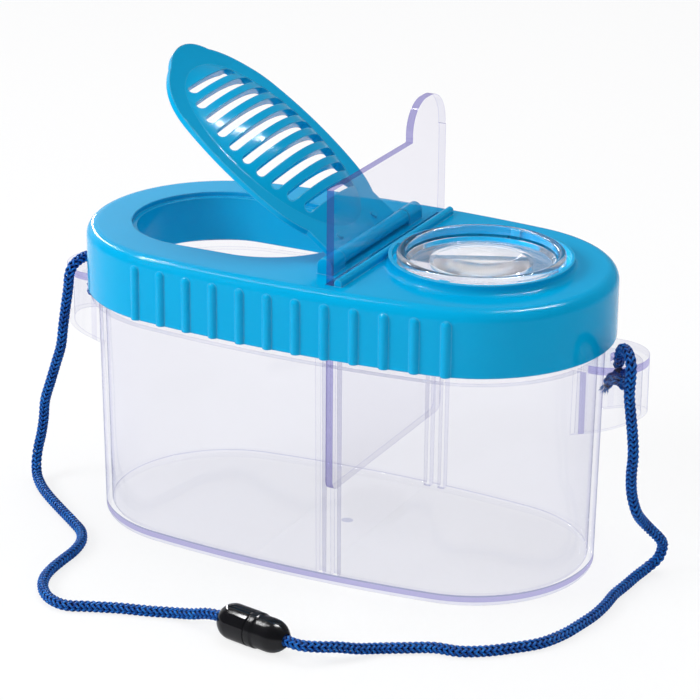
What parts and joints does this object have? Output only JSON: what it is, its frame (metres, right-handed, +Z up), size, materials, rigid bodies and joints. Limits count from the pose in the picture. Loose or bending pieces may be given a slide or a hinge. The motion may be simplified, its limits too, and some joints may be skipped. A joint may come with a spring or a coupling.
{
  "type": "bug catcher jar",
  "caption": "Clear oval bug catcher tub with a lift-off blue lid, a slotted vent flap, a magnifying lens, a sliding divider and a neck cord with a pull-apart clasp.",
  "frame": {"origin": "centre of the tub's foot, on the table", "axes": "+X along the tub to the lens end, +Y to the back, +Z up"},
  "size_m": [0.1974, 0.1316, 0.1393],
  "materials": {
    "tub_clear": "clear gloss",
    "lid_blue": "gloss, slightly translucent",
    "flap_blue": "gloss, slightly translucent",
    "divider_clear": "clear gloss",
    "lens_clear": "clear polished",
    "cord": "braided",
    "clasp_black": "gloss"
  },
  "bodies": {
    "tub": {"tub": "tub_clear", "cord_left": "cord", "cord_right": "cord", "knot_left": "cord", "knot_right": "cord", "clasp_socket": "clasp_black", "knot_socket": "cord", "knot_plug": "cord"},
    "lid": {"lid": "lid_blue", "lens": "lens_clear"},
    "flap": {"vent_flap": "flap_blue"},
    "divider": {"divider": "divider_clear"},
    "plug": {"clasp_plug": "clasp_black"}
  },
  "joints": [
    {"name": "lid_lift", "type": "slide", "parent": "tub", "child": "lid", "axis": [0, 0, 1], "range_m": [0, 0.1]},
    {"name": "flap_hinge", "type": "hinge", "parent": "lid", "child": "flap", "pos_m": [0.0072, 0, 0.0914], "axis": [0, 1, 0], "range_deg": [-37, 45]},
    {"name": "divider_slide", "type": "slide", "parent": "lid", "child": "divider", "axis": [0, 0, 1], "range_m": [-0.025, 0.066]},
    {"name": "clasp_release", "type": "slide", "parent": "tub", "child": "plug", "axis": [0.9781, -0.2079, 0], "range_m": [0, 0.003]}
  ]
}
